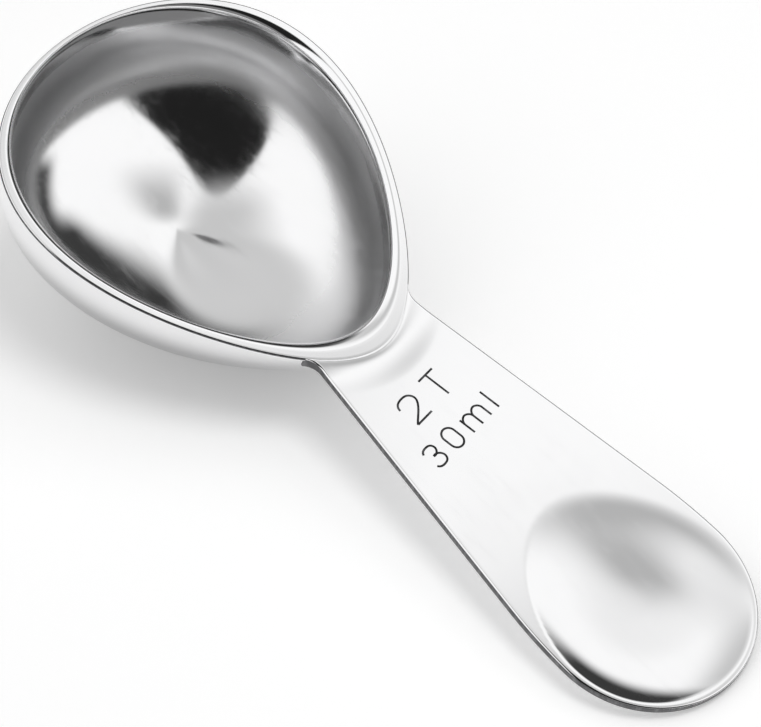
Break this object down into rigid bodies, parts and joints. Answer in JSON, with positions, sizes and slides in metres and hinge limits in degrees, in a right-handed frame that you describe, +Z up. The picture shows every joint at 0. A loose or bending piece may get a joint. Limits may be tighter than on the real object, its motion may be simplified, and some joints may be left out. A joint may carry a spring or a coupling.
{
  "type": "measuring spoon",
  "caption": "Polished steel measuring scoop with an egg-shaped bowl and a short flat handle that widens to a dished round end.",
  "frame": {"origin": "middle of the spoon's bounding box on the surface that it rests on, with the bowl's underside and the handle's end touching that surface", "axes": "+X from the bowl toward the handle's end, +Y across the spoon, +Z up"},
  "size_m": [0.1196, 0.0514, 0.028],
  "materials": {
    "bowl_steel": "mirror polished stainless steel",
    "handle_steel": "mirror polished stainless steel",
    "mark_fill": "matt black fill in an engraved line"
  },
  "bodies": {
    "root": {"bowl": "bowl_steel", "handle": "handle_steel", "capacity_mark_tablespoons": "mark_fill", "capacity_mark_millilitres": "mark_fill"}
  },
  "joints": []
}
